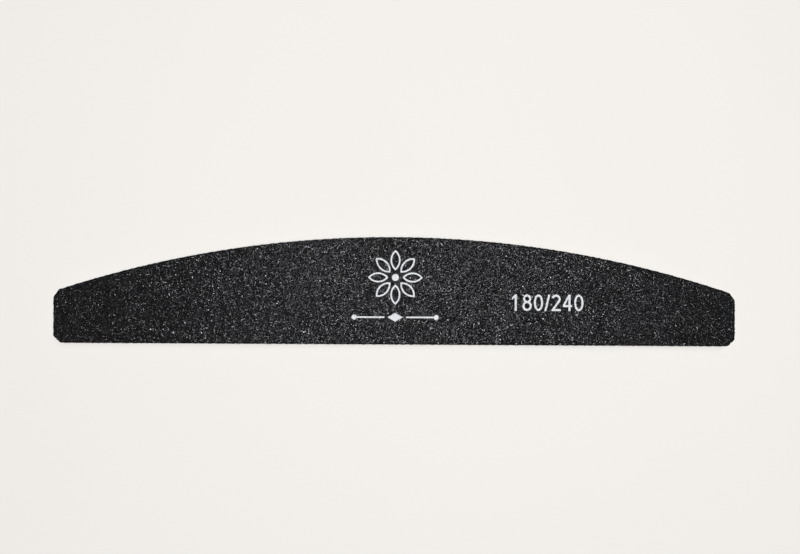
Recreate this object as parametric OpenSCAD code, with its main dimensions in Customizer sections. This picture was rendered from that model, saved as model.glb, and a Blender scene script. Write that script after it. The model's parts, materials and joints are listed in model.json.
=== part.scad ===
// Emery board: a half-moon nail file, laminated from abrasive paper, foam and a plastic core.
// It lies on its finer face, with its straight edge along X, its arch towards +Y and +Z up.
// The origin is under the middle of the board. Distances across it are taken from the straight edge.

/* [Outline] */
// Overall length of the board
board_length = 178; // [150:1:200]
// Width at the middle, from the straight edge to the top of the arch
mid_width = 28; // [26:0.5:34]
// Width at each end, where the arch meets the end face
end_width = 13.4; // [11:0.1:16]
// Length that the bevel takes off each side of a corner at the straight edge
foot_cut = 1.8; // [0.5:0.1:4]
// Length that the bevel takes off each side of a corner at the arch
head_cut = 1.45; // [0.5:0.05:4]
// Radius that rounds the ends of the bevels
corner_radius = 0.8; // [0.3:0.1:1.5]

/* [Core and foam] */
// Thickness of the stiff plastic core
core_thickness = 0.8; // [0.4:0.1:1.6]
// Thickness of each foam pad
foam_thickness = 1.15; // [0.5:0.05:2.5]
// Distance that the cut foam springs back from the outline
foam_setback = 0.15; // [0:0.05:0.5]

/* [Glue films] */
// Thickness of the glue film between core and foam
core_glue_thickness = 0.06; // [0.03:0.01:0.2]
// Thickness of the glue film between foam and abrasive paper
paper_glue_thickness = 0.08; // [0.03:0.01:0.2]
// Distance that the glue films stop short of the outline
glue_setback = 0.1; // [0:0.05:0.4]

/* [Abrasive paper] */
// Thickness of the backing paper
paper_thickness = 0.2; // [0.1:0.02:0.4]
// Thickness of the make coat, the resin that the grit is bedded in
make_coat_thickness = 0.04; // [0.02:0.01:0.1]
// Depth of the 180 grit on the upper face
grit_180_depth = 0.09; // [0.06:0.01:0.14]
// Depth of the 240 grit on the lower face
grit_240_depth = 0.06; // [0.04:0.01:0.1]
// Thickness of the size coat, the resin that locks the grit
size_coat_thickness = 0.03; // [0.02:0.01:0.08]

/* [Grit numbers] */
// Thickness of the printed ink
ink_thickness = 0.02; // [0.01:0.01:0.05]
// Height of the figures
figure_height = 4.4; // [3:0.1:6]
// Width of a round figure
figure_width = 2.5; // [1.8:0.1:3]
// Width of the strokes of the figures
figure_stroke = 0.62; // [0.35:0.01:0.75]
// Distance from one figure to the next
figure_pitch = 2.97; // [2.93:0.01:3.6]
// Distance from a figure to the slash beside it
slash_pitch = 2.3; // [2.2:0.05:3]
// Distance of the numbers' middle from the middle of the board
numbers_x = 40; // [38:0.5:46]
// Height of the numbers' foot above the straight edge
numbers_base = 8.9; // [4:0.1:12]

/* [Ornament] */
// Distance of the ornament's middle from the middle of the board
ornament_x = 0.3; // [-1:0.1:1]
// Diameter of the printed rosette
rosette_diameter = 14.4; // [11:0.1:15.5]
// Number of petals
petal_count = 8; // [6:1:9]
// Width of a petal at its widest
petal_width = 2.7; // [2:0.1:3.2]
// Distance of a petal's inner tip from the rosette's middle
petal_root = 1.8; // [1.5:0.1:2.5]
// Diameter of the dot in the middle
eye_diameter = 1.9; // [1:0.1:2.4]
// Width of the ornament's drawn lines
line_width = 0.5; // [0.25:0.01:0.6]
// Distance of the rosette's top below the top of the arch
rosette_margin = 3.3; // [2:0.1:4]
// Length of the divider under the rosette
divider_length = 22.8; // [16:0.2:28]
// Distance from the foot of the rosette to the middle of the divider
divider_drop = 3.2; // [2:0.1:4]
// Width across the lozenge in the middle of the divider
lozenge_width = 4.2; // [2:0.1:5]
// Height of that lozenge
lozenge_height = 2.4; // [1:0.1:2.8]
// Gap between the lozenge and the rule on each side of it
lozenge_gap = 0.7; // [0.4:0.1:1.5]
// Diameter of the dots that end the rules
rule_dot_diameter = 1.4; // [0.7:0.1:1.6]

/* [Hidden] */

half_length = board_length / 2;
arch_rise = mid_width - end_width;
arch_radius = (arch_rise * arch_rise + half_length * half_length) / (2 * arch_rise);
arch_centre_y = mid_width - arch_radius;
arch_steps = 720;
corner_steps = 48;
petal_steps = 180;
straight_edge_y = -mid_width / 2;

// The outline is the hull of the arch and of four roundings at each end. The angle between the arch and the
// straight edge where the arch reaches the end face, and half the turn from the end face to the arch:
arch_end_angle = asin(half_length / arch_radius);
head_turn = (90 - arch_end_angle) / 2;
// Distances from the sharp corners to where the roundings leave their sides
foot_touch = foot_cut + corner_radius * tan(45 / 2);
head_touch = head_cut + corner_radius * tan(head_turn / 2);
arch_touch_angle = arch_end_angle - head_touch / arch_radius * 180 / PI;
rounding_centres = [
    [half_length - foot_touch, corner_radius],
    [half_length - corner_radius, foot_touch],
    [half_length - corner_radius, end_width - head_touch],
    [0, arch_centre_y] + (arch_radius - corner_radius) * [sin(arch_touch_angle), cos(arch_touch_angle)]
];
arch_reach = arch_radius * sin(arch_touch_angle);
// Height above the arch at which the arch's own area stops
arch_clearance = 1;

// Heights of the layers, from the lower face up
size_lower_z = 0;
grit_240_z = size_lower_z + size_coat_thickness;
make_lower_z = grit_240_z + grit_240_depth;
paper_lower_z = make_lower_z + make_coat_thickness;
paper_glue_lower_z = paper_lower_z + paper_thickness;
foam_lower_z = paper_glue_lower_z + paper_glue_thickness;
core_glue_lower_z = foam_lower_z + foam_thickness;
core_z = core_glue_lower_z + core_glue_thickness;
core_glue_upper_z = core_z + core_thickness;
foam_upper_z = core_glue_upper_z + core_glue_thickness;
paper_glue_upper_z = foam_upper_z + foam_thickness;
paper_upper_z = paper_glue_upper_z + paper_glue_thickness;
make_upper_z = paper_upper_z + paper_thickness;
grit_180_z = make_upper_z + make_coat_thickness;
size_upper_z = grit_180_z + grit_180_depth;
print_z = size_upper_z + size_coat_thickness;

// The figures' curves
curve_steps = 48;
arc_steps = 24;
eight_overlap = figure_stroke;
eight_foot_share = 0.54;
eight_head_narrowing = 0.12;
two_bowl_height = figure_height * 0.56;
two_bowl_start = 168;
two_bowl_end = -38;
four_bar_height = figure_height * 0.24;
four_stem_inset = figure_width * 0.16;
one_flag_drop = figure_height * 0.2;
slash_lean = figure_height * 0.24;

// The rosette and the divider
rosette_radius = rosette_diameter / 2;
rosette_y = mid_width - rosette_margin - rosette_radius;
petal_length = rosette_radius - petal_root;
petal_half_width = petal_width / 2;
petal_arc_radius = (petal_length * petal_length / 4 + petal_half_width * petal_half_width) / petal_width;
divider_y = rosette_y - rosette_radius - divider_drop;
rule_start = lozenge_width / 2 + lozenge_gap;
rule_end = divider_length / 2 - rule_dot_diameter / 2;

// The plan of one layer. Every side is a circle or touches one, so smaller radii draw all of them in by inset.
module board_outline(inset = 0) {
    hull() {
        intersection() {
            translate([0, arch_centre_y]) circle(r = arch_radius - inset, $fn = arch_steps);
            translate([-arch_reach, end_width - head_cut])
                square([2 * arch_reach, arch_rise + head_cut + arch_clearance]);
        }
        for (side = [0, 1]) mirror([side, 0])
            for (centre = rounding_centres)
                translate(centre) circle(r = corner_radius - inset, $fn = corner_steps);
    }
}

// One layer of the laminate.
module layer(base_z, thickness, inset = 0) {
    translate([0, straight_edge_y, base_z])
        linear_extrude(thickness) board_outline(inset);
}

// Everything printed lies on the upper face.
module print_on_top() {
    translate([0, straight_edge_y, print_z])
        linear_extrude(ink_thickness) children();
}

function ellipse_point(rx, ry, angle) = [rx * cos(angle), ry * sin(angle)];

module ellipse_area(width, height) {
    polygon([for (i = [0 : curve_steps - 1])
        ellipse_point(width / 2, height / 2, i * 360 / curve_steps)]);
}

// An oval loop of one stroke, standing on y = 0.
module oval_loop(width, height) {
    translate([0, height / 2]) difference() {
        ellipse_area(width, height);
        ellipse_area(width - 2 * figure_stroke, height - 2 * figure_stroke);
    }
}

module figure_0() {
    oval_loop(figure_width, figure_height);
}

module figure_1() {
    foot = figure_stroke / 2;
    polygon([
        [-foot, 0], [foot, 0], [foot, figure_height], [-foot * 0.6, figure_height],
        [-figure_width * 0.42, figure_height - one_flag_drop],
        [-figure_width * 0.42, figure_height - one_flag_drop - figure_stroke],
        [-foot, figure_height - one_flag_drop * 1.15]
    ]);
}

module figure_2() {
    bowl_rx = figure_width / 2;
    bowl_ry = two_bowl_height / 2;
    bowl_y = figure_height - bowl_ry;
    inner_rx = bowl_rx - figure_stroke;
    inner_ry = bowl_ry - figure_stroke;
    angle_at = function (i) two_bowl_start + (two_bowl_end - two_bowl_start) * i / arc_steps;
    outer = [for (i = [0 : arc_steps])
        [0, bowl_y] + ellipse_point(bowl_rx, bowl_ry, angle_at(i))];
    inner = [for (i = [arc_steps : -1 : 0])
        [0, bowl_y] + ellipse_point(inner_rx, inner_ry, angle_at(i))];
    polygon(concat(
        outer,
        [[-bowl_rx + figure_stroke * 1.5, figure_stroke], [bowl_rx, figure_stroke], [bowl_rx, 0]],
        [[-bowl_rx, 0], [-bowl_rx, figure_stroke * 0.6]],
        inner
    ));
}

module figure_4() {
    half = figure_width / 2;
    stem_right = half - four_stem_inset;
    stem_left = stem_right - figure_stroke;
    difference() {
        union() {
            translate([stem_left, 0]) square([figure_stroke, figure_height]);
            polygon([
                [-half, four_bar_height], [half, four_bar_height],
                [half, four_bar_height + figure_stroke], [stem_right, four_bar_height + figure_stroke],
                [stem_right, figure_height], [stem_left, figure_height],
                [-half, four_bar_height + figure_stroke]
            ]);
        }
        polygon([
            [-half + figure_stroke * 1.1, four_bar_height + figure_stroke],
            [stem_left, four_bar_height + figure_stroke],
            [stem_left, figure_height - figure_stroke * 1.9]
        ]);
    }
}

module figure_8() {
    foot_height = figure_height * eight_foot_share + eight_overlap / 2;
    head_height = figure_height - foot_height + eight_overlap;
    oval_loop(figure_width, foot_height);
    translate([0, figure_height - head_height])
        oval_loop(figure_width * (1 - eight_head_narrowing), head_height);
}

module slash() {
    foot = figure_stroke / 2;
    polygon([
        [-slash_lean / 2 - foot, 0], [-slash_lean / 2 + foot, 0],
        [slash_lean / 2 + foot, figure_height], [slash_lean / 2 - foot, figure_height]
    ]);
}

// The grit of the upper face, a slash and the grit of the lower face.
module printed_numbers() {
    color("white") print_on_top() translate([numbers_x, numbers_base]) {
        translate([-slash_pitch - 2 * figure_pitch, 0]) figure_1();
        translate([-slash_pitch - figure_pitch, 0]) figure_8();
        translate([-slash_pitch, 0]) figure_0();
        slash();
        translate([slash_pitch, 0]) figure_2();
        translate([slash_pitch + figure_pitch, 0]) figure_4();
        translate([slash_pitch + 2 * figure_pitch, 0]) figure_0();
    }
}

// A pointed oval between two arcs, along +X from the origin, with its arcs drawn in by inset.
module petal_area(inset) {
    intersection_for (side = [-1, 1])
        translate([petal_length / 2, side * (petal_arc_radius - petal_half_width)])
            circle(r = petal_arc_radius - inset, $fn = petal_steps);
}

module petal() {
    difference() {
        petal_area(0);
        petal_area(line_width);
    }
}

module printed_rosette() {
    color("white") print_on_top() translate([ornament_x, rosette_y]) {
        circle(d = eye_diameter, $fn = curve_steps);
        for (i = [0 : petal_count - 1])
            rotate(90 + i * 360 / petal_count) translate([petal_root, 0]) petal();
    }
}

module printed_divider() {
    color("white") print_on_top() translate([ornament_x, divider_y]) {
        polygon([
            [-lozenge_width / 2, 0], [0, -lozenge_height / 2],
            [lozenge_width / 2, 0], [0, lozenge_height / 2]
        ]);
        for (side = [0, 1]) mirror([side, 0]) {
            translate([rule_start, -line_width / 2]) square([rule_end - rule_start, line_width]);
            translate([rule_end, 0]) circle(d = rule_dot_diameter, $fn = curve_steps);
        }
    }
}

module core_board() {
    color("whitesmoke") layer(core_z, core_thickness);
}

module core_glue_upper() {
    color("lightgoldenrodyellow") layer(core_glue_upper_z, core_glue_thickness, glue_setback);
}

module core_glue_lower() {
    color("lightgoldenrodyellow") layer(core_glue_lower_z, core_glue_thickness, glue_setback);
}

module foam_pad_upper() {
    color("dimgray") layer(foam_upper_z, foam_thickness, foam_setback);
}

module foam_pad_lower() {
    color("dimgray") layer(foam_lower_z, foam_thickness, foam_setback);
}

module paper_glue_upper() {
    color("lightgoldenrodyellow") layer(paper_glue_upper_z, paper_glue_thickness, glue_setback);
}

module paper_glue_lower() {
    color("lightgoldenrodyellow") layer(paper_glue_lower_z, paper_glue_thickness, glue_setback);
}

module backing_paper_upper() {
    color("darkslategray") layer(paper_upper_z, paper_thickness);
}

module backing_paper_lower() {
    color("darkslategray") layer(paper_lower_z, paper_thickness);
}

module make_coat_upper() {
    color([0.1, 0.1, 0.1]) layer(make_upper_z, make_coat_thickness);
}

module make_coat_lower() {
    color([0.1, 0.1, 0.1]) layer(make_lower_z, make_coat_thickness);
}

module grit_180() {
    color([0.2, 0.2, 0.21]) layer(grit_180_z, grit_180_depth);
}

module grit_240() {
    color([0.2, 0.2, 0.21]) layer(grit_240_z, grit_240_depth);
}

module size_coat_upper() {
    color([0.16, 0.16, 0.17]) layer(size_upper_z, size_coat_thickness);
}

module size_coat_lower() {
    color([0.16, 0.16, 0.17]) layer(size_lower_z, size_coat_thickness);
}

core_board();
core_glue_upper();
core_glue_lower();
foam_pad_upper();
foam_pad_lower();
paper_glue_upper();
paper_glue_lower();
backing_paper_upper();
backing_paper_lower();
make_coat_upper();
make_coat_lower();
grit_180();
grit_240();
size_coat_upper();
size_coat_lower();
printed_numbers();
printed_rosette();
printed_divider();
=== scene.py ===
"""Finishes a half-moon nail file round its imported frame.

The board is a laminate. Its frame gives the outline and the height of every layer, and this file models
what the eye meets: two gritty faces with their resin and their grains, white print, foam with its cut
cells, the paper's fibrous edge and the core's sheared edge. Lengths are in metres, in the frame's axes.
"""

import json
import math

import bpy
import numpy as np
from bpy.props import FloatProperty, FloatVectorProperty, IntProperty, PointerProperty
from bpy.types import Operator, Panel, PropertyGroup
from mathutils import Matrix, Vector

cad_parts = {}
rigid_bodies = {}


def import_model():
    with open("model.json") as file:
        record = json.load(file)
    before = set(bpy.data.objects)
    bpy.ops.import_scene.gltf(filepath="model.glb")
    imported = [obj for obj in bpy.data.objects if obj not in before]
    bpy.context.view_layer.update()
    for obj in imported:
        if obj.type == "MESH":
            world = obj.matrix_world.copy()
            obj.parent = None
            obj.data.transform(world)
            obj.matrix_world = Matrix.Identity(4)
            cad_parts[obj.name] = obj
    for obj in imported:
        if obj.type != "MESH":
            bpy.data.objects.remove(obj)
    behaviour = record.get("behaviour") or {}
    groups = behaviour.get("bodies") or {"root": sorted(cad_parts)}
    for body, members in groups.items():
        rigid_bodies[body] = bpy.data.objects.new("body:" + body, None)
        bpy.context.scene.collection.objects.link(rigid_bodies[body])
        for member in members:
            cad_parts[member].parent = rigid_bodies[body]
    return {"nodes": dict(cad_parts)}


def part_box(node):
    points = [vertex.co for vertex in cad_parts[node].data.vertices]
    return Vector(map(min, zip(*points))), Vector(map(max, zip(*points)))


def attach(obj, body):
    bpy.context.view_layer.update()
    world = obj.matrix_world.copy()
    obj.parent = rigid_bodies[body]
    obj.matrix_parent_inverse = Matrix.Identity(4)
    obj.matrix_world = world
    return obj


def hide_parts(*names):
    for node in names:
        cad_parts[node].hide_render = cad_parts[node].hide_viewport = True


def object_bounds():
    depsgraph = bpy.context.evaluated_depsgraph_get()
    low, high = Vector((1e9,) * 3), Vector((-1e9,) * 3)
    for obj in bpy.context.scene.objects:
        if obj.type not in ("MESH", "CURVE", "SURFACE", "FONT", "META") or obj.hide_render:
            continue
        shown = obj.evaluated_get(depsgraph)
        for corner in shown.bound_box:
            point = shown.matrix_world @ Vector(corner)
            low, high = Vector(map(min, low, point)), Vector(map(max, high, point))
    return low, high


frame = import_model()
cad_low, cad_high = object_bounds()

bl_info = {
    "name": "Emery board finish",
    "version": (1, 0, 0),
    "blender": (4, 5, 0),
    "location": "View3D > Sidebar > Emery board",
    "description": "Models and finishes a half-moon nail file round its packed frame",
    "category": "Object",
}

MM = 0.001
HAIR = 0.00001
BODY = "root"
BAKE_MAP = "OFBake"

# The photograph's frame, and where the board lies in it, in pixels
PHOTO_WIDTH = 800
PHOTO_HEIGHT = 554
BOARD_CENTRE_X = 394.2
BOARD_CENTRE_Y = 290.85
PIXELS_PER_METRE = 3829.0
BOARD_TURN = math.radians(0.317)


def layer(node):
    """The lowest and highest z of a layer of the laminate."""
    low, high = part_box(node)
    return low.z, high.z


# The outline

# The die's unevenness along the cut edge, as waves: each one's share, the way it runs and its length, then
# how far a slower wave swings it, with that wave's way and length
EDGE_WAVES = [
    (0.4, (1, 0.7), 2.1 * MM, 2.2, (1, 0), 13 * MM),
    (0.3, (0.83, -1), 1.27 * MM, 1.7, (1, 1), 7.1 * MM),
    (0.3, (1, -0.6), 0.61 * MM, 2.6, (1, 0.4), 3.3 * MM),
]
EDGE_STANDS_OUT = 0.4
EDGE_REACH = 0.45 * MM

# Along the outline, columns are shared out by the way along the board and this much of the way walked, so
# that the end faces get theirs
CORNER_CARE = 3
CHAIN_STEP = 0.05 * MM


def read_outline():
    """The corner points of the board's plan, counter-clockwise from the lower end of its left end face."""
    plan = np.array([v.co[:2] for v in frame["nodes"]["backing_paper_upper"].data.vertices])
    plan = np.unique(np.round(plan / HAIR) * HAIR, axis=0)
    plan = plan[np.argsort(np.arctan2(plan[:, 1], plan[:, 0]))]
    on_end = np.nonzero(plan[:, 0] < plan[:, 0].min() + HAIR)[0]
    first = on_end[np.argmin(plan[on_end, 1])]
    return np.roll(plan, -first, axis=0)


OUTLINE = read_outline()
SIDES = np.roll(OUTLINE, -1, axis=0) - OUTLINE
INWARD = np.column_stack([-SIDES[:, 1], SIDES[:, 0]]) / np.hypot(SIDES[:, 0], SIDES[:, 1])[:, None]
FACE_AREA = 0.5 * abs(float(np.sum(OUTLINE[:, 0] * SIDES[:, 1] - OUTLINE[:, 1] * SIDES[:, 0])))


def inside(x, y):
    """How far points lie inside the outline, and the inward direction of the side nearest to each."""
    depths = INWARD @ np.stack([x, y]) - np.sum(INWARD * OUTLINE, axis=1)[:, None]
    nearest = depths.argmin(0)
    return depths.min(0), INWARD[nearest].T


def edge_wave(x, y):
    """The cut edge's unevenness, by place: below nothing it stands out, above it is cut in."""
    circle = 2 * np.pi
    wave = 0
    for share, way, length, swing, slow_way, slow_length in EDGE_WAVES:
        slow = np.sin(circle * (slow_way[0] * x + slow_way[1] * y) / slow_length)
        wave = wave + share * np.sin(circle * (way[0] * x + way[1] * y) / length + swing * slow)
    return wave - EDGE_STANDS_OUT


def waver(x, y, height):
    """Moves points near the outline in and out by the die's unevenness, height from mean to peaks."""
    depth, way = inside(x, y)
    moved = height * edge_wave(x, y) * np.exp(-((np.maximum(depth, 0) / EDGE_REACH) ** 2))
    return x + way[0] * moved, y + way[1] * moved


def run_along(points):
    """The distance along a polyline at each of its points."""
    return np.concatenate([[0], np.cumsum(np.hypot(*np.diff(points, axis=0).T))])


def evenly(points, spacing):
    """Points along a polyline, about that far apart, with its ends kept."""
    run = run_along(points)
    at = np.linspace(0, run[-1], max(2, int(round(run[-1] / spacing)) + 1))
    return np.stack([np.interp(at, run, points[:, k]) for k in (0, 1)], 1)


def lower_chain():
    """The outline from the lower end of the left end face along the straight edge to the right end face."""
    last = np.nonzero(OUTLINE[:, 0] > OUTLINE[:, 0].max() - HAIR)[0].min()
    return OUTLINE[:last + 1]


def upper_chain():
    """The outline from the upper end of the left end face over the arch to the right end face."""
    last = np.nonzero(OUTLINE[:, 0] > OUTLINE[:, 0].max() - HAIR)[0].max()
    return OUTLINE[:last - 1:-1]


def outline_loop(spacing):
    """The whole outline as evenly spaced points, counter-clockwise."""
    return evenly(np.vstack([OUTLINE, OUTLINE[:1]]), spacing)[:-1]


def columns_at(shares):
    """For shares from 0 to 1 along the board, a point on the lower chain and one on the upper."""
    found = []
    for chain in (lower_chain(), upper_chain()):
        fine = evenly(chain, CHAIN_STEP)
        along = fine[:, 0] + CORNER_CARE * run_along(fine)
        along = (along - along[0]) / (along[-1] - along[0])
        found.append(np.stack([np.interp(shares, along, fine[:, k]) for k in (0, 1)], 1))
    return found


# Modelling helpers

def start_fresh():
    """Object mode, with nothing selected."""
    if bpy.context.object is not None and bpy.context.object.mode != "OBJECT":
        bpy.ops.object.mode_set(mode="OBJECT")
    bpy.ops.object.select_all(action="DESELECT")


def choose(piece):
    """Makes one object the selected and active one."""
    start_fresh()
    piece.select_set(True)
    bpy.context.view_layer.objects.active = piece


def named(name):
    """Names the new primitive and its mesh."""
    piece = bpy.context.object
    piece.name = name
    piece.data.name = name
    return piece


def places(piece):
    """The piece's vertices as an array."""
    found = np.empty(len(piece.data.vertices) * 3, np.float32)
    piece.data.vertices.foreach_get("co", found)
    return found.reshape(-1, 3).astype(float)


def put(piece, points):
    """Moves the piece's vertices to these places."""
    piece.data.vertices.foreach_set("co", points.astype(np.float32).ravel())
    piece.data.update()


def apply_all(piece):
    """Applies the piece's modifiers, first to last."""
    choose(piece)
    for modifier in list(piece.modifiers):
        bpy.ops.object.modifier_apply(modifier=modifier.name)


def weigh(piece, name, weights):
    """A vertex group with a weight for every vertex, in tenths."""
    group = piece.vertex_groups.new(name=name)
    steps = np.round(np.clip(weights, 0, 1) * 10).astype(int)
    for step in range(1, 11):
        found = np.nonzero(steps == step)[0].tolist()
        if found:
            group.add(found, step / 10, "REPLACE")


def pattern(name, kind, size, **settings):
    """A texture that a Displace modifier follows, with its cells or clouds of that size."""
    texture = bpy.data.textures.new(name, kind)
    texture.noise_scale = size
    for key, value in settings.items():
        setattr(texture, key, value)
    return texture


def displace(piece, texture, strength, direction="Z", level=0.5, group=""):
    """Adds a Displace modifier."""
    modifier = piece.modifiers.new(texture.name, "DISPLACE")
    modifier.texture = texture
    modifier.texture_coords = "LOCAL"
    modifier.strength = strength
    modifier.mid_level = level
    modifier.direction = direction
    modifier.vertex_group = group


def turn_over(piece):
    """Mirrors a piece that was modelled face up, so that it faces down."""
    choose(piece)
    bpy.ops.object.mode_set(mode="EDIT")
    bpy.ops.mesh.select_all(action="SELECT")
    bpy.ops.transform.mirror(
        orient_type="GLOBAL", constraint_axis=(False, False, True), center_override=(0, 0, 0))
    bpy.ops.mesh.flip_normals()
    bpy.ops.object.mode_set(mode="OBJECT")


def finish_piece(piece, material, slot, *nodes):
    """Gives a finished piece its material and its body, and hides the nodes that it stands for. Its slot is
    not used.
    """
    piece.data.materials.clear()
    piece.data.materials.append(material)
    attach(piece, BODY)
    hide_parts(*nodes)


# Settings

class EmeryGrit(PropertyGroup):
    """Sizes of the two gritty faces."""

    columns: IntProperty(name="Columns", description="Divisions of a face along the board", default=752)
    rows: IntProperty(name="Rows", description="Divisions of a face across the board", default=104)
    lump_height: FloatProperty(
        name="Lump height", description="Height of the resin's lumps over the bedded grit",
        default=0.075 * MM, unit="LENGTH", precision=6)
    wave_height: FloatProperty(
        name="Wave height", description="Height of the coat's slow waves",
        default=0.02 * MM, unit="LENGTH", precision=6)
    roll_depth: FloatProperty(
        name="Roll depth", description="How far the coat bends down at the cut edge",
        default=0.05 * MM, unit="LENGTH", precision=6)
    roll_width: FloatProperty(
        name="Roll width", description="Width of the rim that bends down",
        default=0.6 * MM, unit="LENGTH", precision=6)
    edge_wave: FloatProperty(
        name="Edge wave", description="Unevenness of the cut edge, from its mean to its peaks",
        default=0.09 * MM, unit="LENGTH", precision=6)
    ink_shrinks: FloatProperty(
        name="Ink shrinks", description="How far the ink's edge draws in from the print's outline",
        default=0.05 * MM, unit="LENGTH", precision=6)
    ink_ragged: FloatProperty(
        name="Ink ragged", description="How far the grit pulls the ink's edge about",
        default=0.12 * MM, unit="LENGTH", precision=6)
    grains: IntProperty(
        name="Grains", description="Grains cast on a face, before those that touch are taken off",
        default=90000)
    grain_spacing: FloatProperty(
        name="Grain spacing", description="Least distance between the middles of two grains",
        default=0.18 * MM, unit="LENGTH", precision=6)


class EmeryColours(PropertyGroup):
    """Colours of the board's materials, as linear light."""

    resin: FloatVectorProperty(
        name="Resin", description="Size coat between the grains", subtype="COLOR",
        default=(0.003, 0.003, 0.0033))
    grain_dark: FloatVectorProperty(
        name="Dark grain", description="The darkest grains", subtype="COLOR",
        default=(0.002, 0.002, 0.0022))
    # The lightest grains' colour: partly their own grey, partly painted sparkle that stands in for glints
    light_grain_and_painted_sparkle: FloatVectorProperty(
        name="Light grain", description="The lightest grains", subtype="COLOR",
        default=(0.13, 0.132, 0.14))
    ink: FloatVectorProperty(
        name="Ink", description="White print", subtype="COLOR",
        default=(0.80, 0.81, 0.84))
    foam: FloatVectorProperty(
        name="Foam", description="Cut edge of the foam", subtype="COLOR",
        default=(0.035, 0.035, 0.038))
    core: FloatVectorProperty(
        name="Core", description="Plastic core", subtype="COLOR",
        default=(0.80, 0.80, 0.78))
    paper: FloatVectorProperty(
        name="Paper", description="Cut edge of the backing paper", subtype="COLOR",
        default=(0.03, 0.029, 0.028))
    glue: FloatVectorProperty(
        name="Glue", description="Glue films", subtype="COLOR",
        default=(0.06, 0.054, 0.042))
    table: FloatVectorProperty(
        name="Table", description="Table under the board", subtype="COLOR",
        default=(0.90, 0.875, 0.843))


class EmeryStage(PropertyGroup):
    """The camera and the light."""

    camera_height: FloatProperty(
        name="Camera height", description="Camera above the table", default=0.26, unit="LENGTH")
    lamp_place: FloatVectorProperty(
        name="Lamp's place", description="Middle of the lamp, which points at the board", subtype="XYZ",
        default=(0.02, 0.02, 0.8))
    lamp_size: FloatProperty(
        name="Lamp size", description="Side of the square lamp", default=0.16, unit="LENGTH")
    lamp_power: FloatProperty(
        name="Lamp power", description="Lamp's power in watts", default=5.55)
    side_place: FloatVectorProperty(
        name="Side lamp's place", description="Middle of the side lamp, which points at the board",
        subtype="XYZ", default=(0.2, 0.34, 0.95))
    side_power: FloatProperty(
        name="Side lamp power", description="Side lamp's power in watts", default=0.85)
    sky: FloatProperty(
        name="Sky", description="Strength of the even light from all round", default=0.07)
    under_power: FloatProperty(
        name="Under lamp", description="Power of the lamp that shows the underside", default=6.5)


# Nodes

class Tree:
    """Adds nodes to a node tree in a row, and links them."""

    def __init__(self, tree):
        self.tree = tree
        self.column = 0

    def feed(self, socket, value):
        """Links an output to a socket, or sets the socket's own value."""
        if isinstance(value, bpy.types.NodeSocket):
            self.tree.links.new(value, socket)
        else:
            socket.default_value = value

    def add(self, kind, values=None, **settings):
        """A node with its settings and its inputs, each a value or an output to link."""
        node = self.tree.nodes.new(kind)
        node.location = (self.column * 200, 0)
        self.column += 1
        for key, value in settings.items():
            setattr(node, key, value)
        for key, value in (values or {}).items():
            self.feed(node.inputs[key], value)
        return node

    def calc(self, operation, *values, **settings):
        """The output of a Math node."""
        given = dict(enumerate(values))
        return self.add("ShaderNodeMath", given, operation=operation, **settings).outputs[0]

    def ranged(self, share, low, high, start=0.0, end=1.0):
        """A value that goes from low to high as the share goes from start to end."""
        given = {"Value": share, "From Min": start, "From Max": end, "To Min": low, "To Max": high}
        return self.add("ShaderNodeMapRange", given).outputs["Result"]


def new_group(name, kind, inputs, outputs):
    """A node group with named sockets. Returns the group, its tree helper and its inputs."""
    group = bpy.data.node_groups.new(name, kind)
    for label, socket_kind, value in inputs:
        socket = group.interface.new_socket(
            name=label, in_out="INPUT", socket_type=f"NodeSocket{socket_kind}")
        if value is not None:
            socket.default_value = value
    for label, socket_kind in outputs:
        group.interface.new_socket(name=label, in_out="OUTPUT", socket_type=f"NodeSocket{socket_kind}")
    tree = Tree(group)
    return group, tree, tree.add("NodeGroupInput").outputs


def mottle_group():
    """Slow and fine unevenness of a surface, as a value between two ends and a height."""
    group, tree, given = new_group(
        "Mottle", "ShaderNodeTree",
        [("Vector", "Vector", None), ("Scale", "Float", 400.0), ("Low", "Float", 0.0),
         ("High", "Float", 1.0), ("Contrast", "Float", 0.3)],
        [("Value", "Float"), ("Height", "Float")],
    )
    noise = tree.add("ShaderNodeTexNoise", {
        "Vector": given["Vector"], "Scale": given["Scale"], "Detail": 3.0, "Roughness": 0.6}).outputs["Fac"]
    below = tree.calc("SUBTRACT", 0.5, given["Contrast"])
    above = tree.calc("ADD", 0.5, given["Contrast"])
    value = tree.ranged(noise, given["Low"], given["High"], start=below, end=above)
    tree.add("NodeGroupOutput", {"Value": value, "Height": noise})
    return group


def speck_group():
    """Scattered specks with frayed edges: a share of a pattern's cells, each round its middle."""
    group, tree, given = new_group(
        "Specks", "ShaderNodeTree",
        [("Vector", "Vector", None), ("Scale", "Float", 3000.0), ("Share", "Float", 0.2),
         ("Size", "Float", 0.4)],
        [("Mask", "Float"), ("Height", "Float")],
    )
    finer = 2.5
    fray = 1.2
    cells = tree.add("ShaderNodeTexVoronoi", {"Vector": given["Vector"], "Scale": given["Scale"]}).outputs
    parts = tree.add("ShaderNodeSeparateColor", {"Color": cells["Color"]})
    chosen = tree.calc("LESS_THAN", parts.outputs["Red"], given["Share"])
    noise = tree.add("ShaderNodeTexNoise", {
        "Vector": given["Vector"], "Scale": tree.calc("MULTIPLY", given["Scale"], finer), "Detail": 2.0})
    frayed = tree.calc("MULTIPLY_ADD", noise.outputs["Fac"], fray, -fray / 2)
    near = tree.calc("LESS_THAN", tree.calc("ADD", cells["Distance"], frayed), given["Size"])
    mask = tree.calc("MULTIPLY", chosen, near)
    tree.add("NodeGroupOutput", {"Mask": mask, "Height": cells["Distance"]})
    return group


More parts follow.
